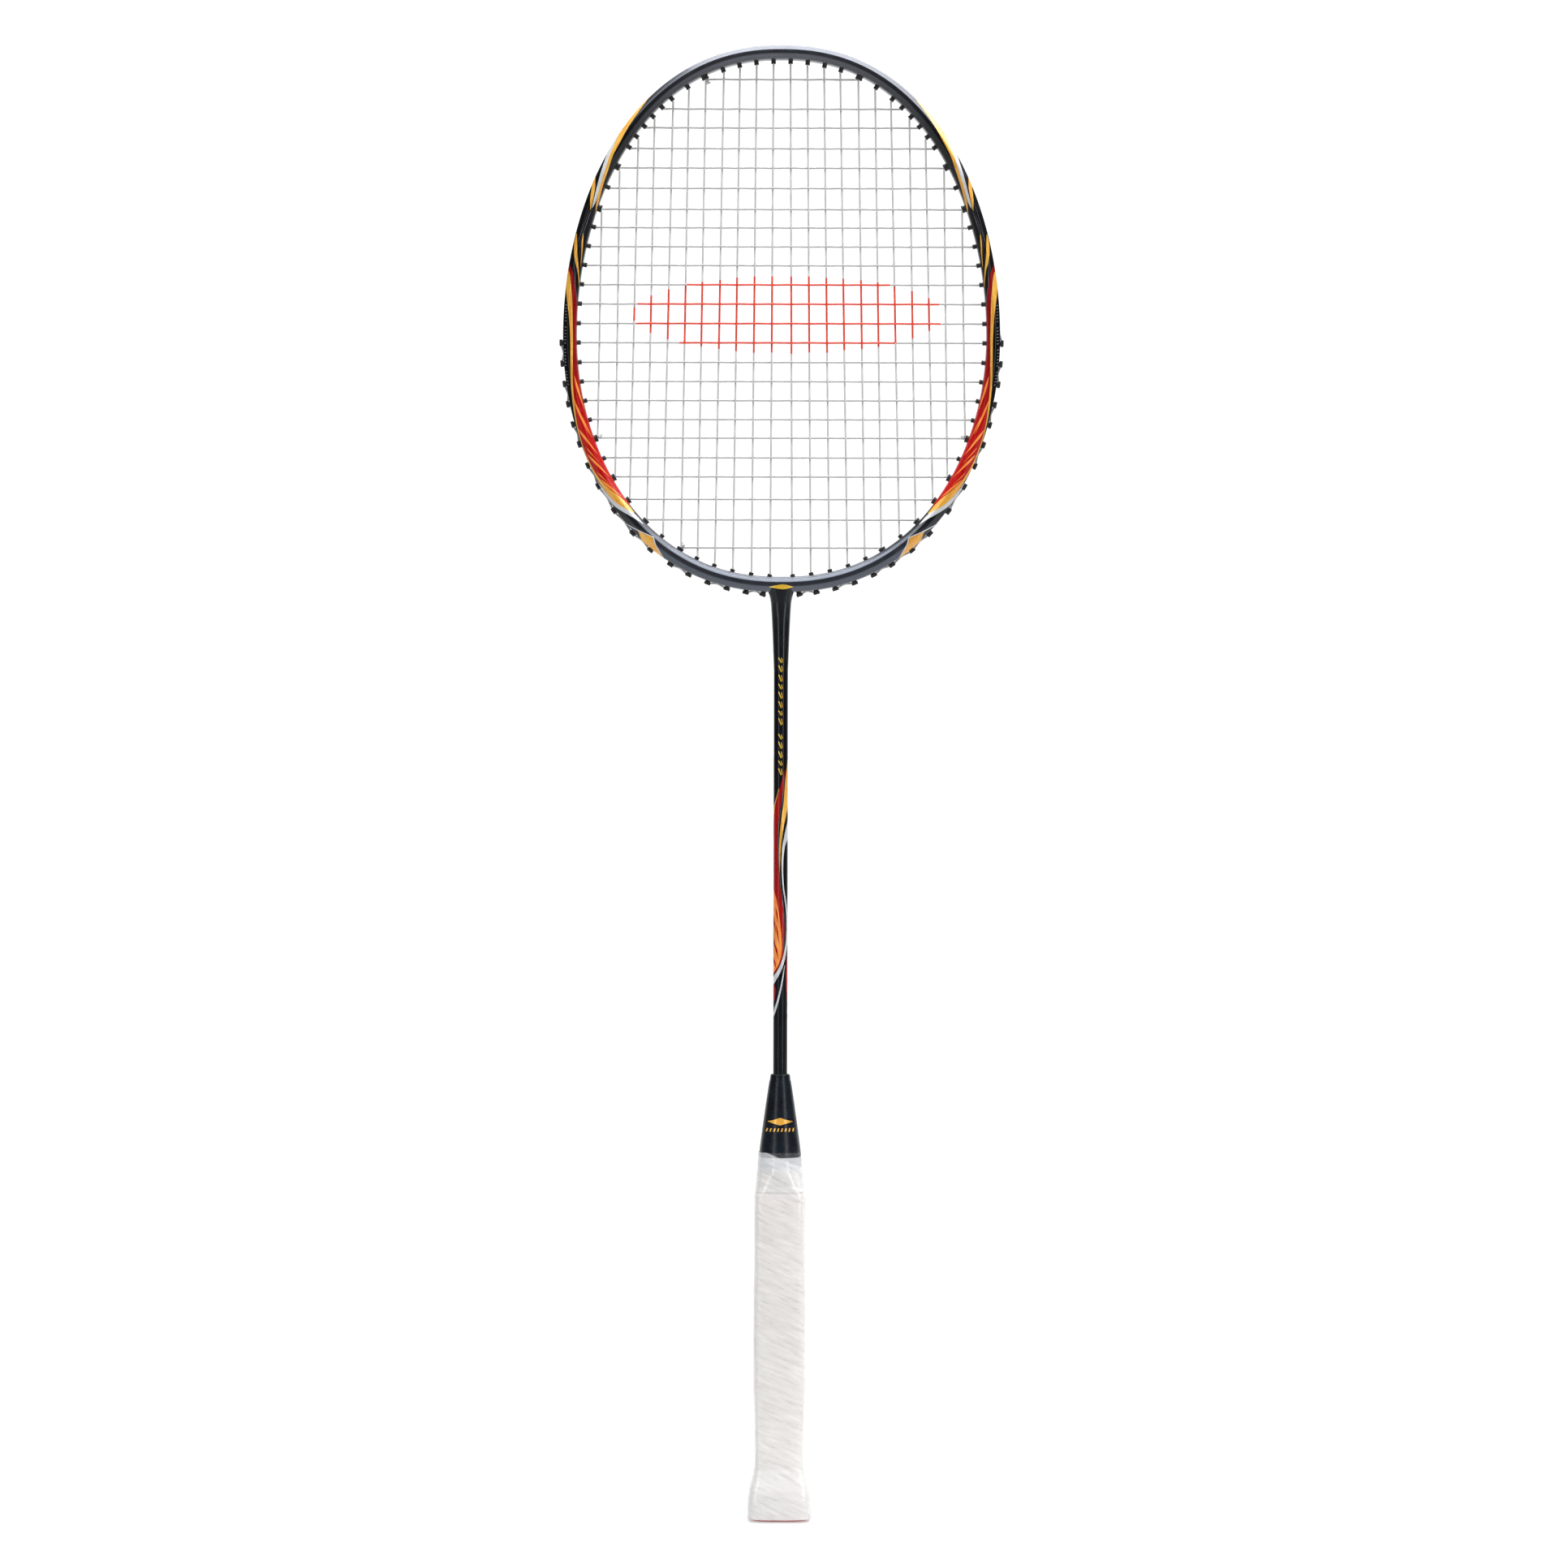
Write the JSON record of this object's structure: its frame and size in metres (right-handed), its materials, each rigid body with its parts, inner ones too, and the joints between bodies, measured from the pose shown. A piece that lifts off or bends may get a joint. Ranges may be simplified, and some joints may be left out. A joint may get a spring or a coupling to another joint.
{
  "type": "badminton racket",
  "caption": "Badminton racket with an oval grooved carbon rim, laced string bed with moulded grommets, slim tube shaft, tapered cone and wrapped octagonal grip with a flared butt.",
  "frame": {"origin": "centre of the flat butt end of the handle", "axes": "+Z along the shaft to the tip of the head, +X across the head in the plane of the strings, -Y out of the front face of the string bed"},
  "size_m": [0.2053, 0.0276, 0.675],
  "materials": {
    "rim_paint": "glossy dark slate metallic lacquer over carbon, with painted ribbons",
    "shaft_paint": "glossy black lacquer over carbon, with painted ribbons",
    "cone_plastic": "satin moulded plastic with a fine sparkle",
    "grommet_nylon": "moulded nylon",
    "string_nylon": "coated multifilament string",
    "handle_wood": "planed, unfinished",
    "butt_plastic": "satin moulded",
    "staple_steel": "plain wire",
    "grip_wrap_pu": "soft polyurethane wrap, matt",
    "tape_vinyl": "smooth vinyl tape",
    "film_clear": "thin clear wrinkled film"
  },
  "bodies": {
    "root": {"head_frame": "rim_paint", "t_joint": "rim_paint", "shaft": "shaft_paint", "cone_cap": "cone_plastic", "handle_core": "handle_wood", "butt_cap": "butt_plastic", "grip_staple": "staple_steel", "grip_wrap": "grip_wrap_pu", "finishing_tape": "tape_vinyl", "protective_film": "film_clear", "string_mains": "string_nylon", "string_crosses": "string_nylon", "grommet_strip_tip": "grommet_nylon", "grommet_strip_shoulder_left": "grommet_nylon", "grommet_strip_shoulder_right": "grommet_nylon", "grommet_strip_side_left": "grommet_nylon", "grommet_strip_side_right": "grommet_nylon", "grommet_left_22": "grommet_nylon", "grommet_right_22": "grommet_nylon", "grommet_left_23": "grommet_nylon", "grommet_right_23": "grommet_nylon", "grommet_left_24": "grommet_nylon", "grommet_right_24": "grommet_nylon", "grommet_left_25": "grommet_nylon", "grommet_right_25": "grommet_nylon", "grommet_left_26": "grommet_nylon", "grommet_right_26": "grommet_nylon", "grommet_left_27": "grommet_nylon", "grommet_right_27": "grommet_nylon", "grommet_left_28": "grommet_nylon", "grommet_right_28": "grommet_nylon", "grommet_left_29": "grommet_nylon", "grommet_right_29": "grommet_nylon", "grommet_left_30": "grommet_nylon", "grommet_right_30": "grommet_nylon", "grommet_left_31": "grommet_nylon", "grommet_right_31": "grommet_nylon", "grommet_left_32": "grommet_nylon", "grommet_right_32": "grommet_nylon", "grommet_left_33": "grommet_nylon", "grommet_right_33": "grommet_nylon", "grommet_left_34": "grommet_nylon", "grommet_right_34": "grommet_nylon", "grommet_left_35": "grommet_nylon", "grommet_right_35": "grommet_nylon", "grommet_left_36": "grommet_nylon", "grommet_right_36": "grommet_nylon", "grommet_left_37": "grommet_nylon", "grommet_right_37": "grommet_nylon", "grommet_left_38": "grommet_nylon", "grommet_right_38": "grommet_nylon"}
  },
  "joints": []
}
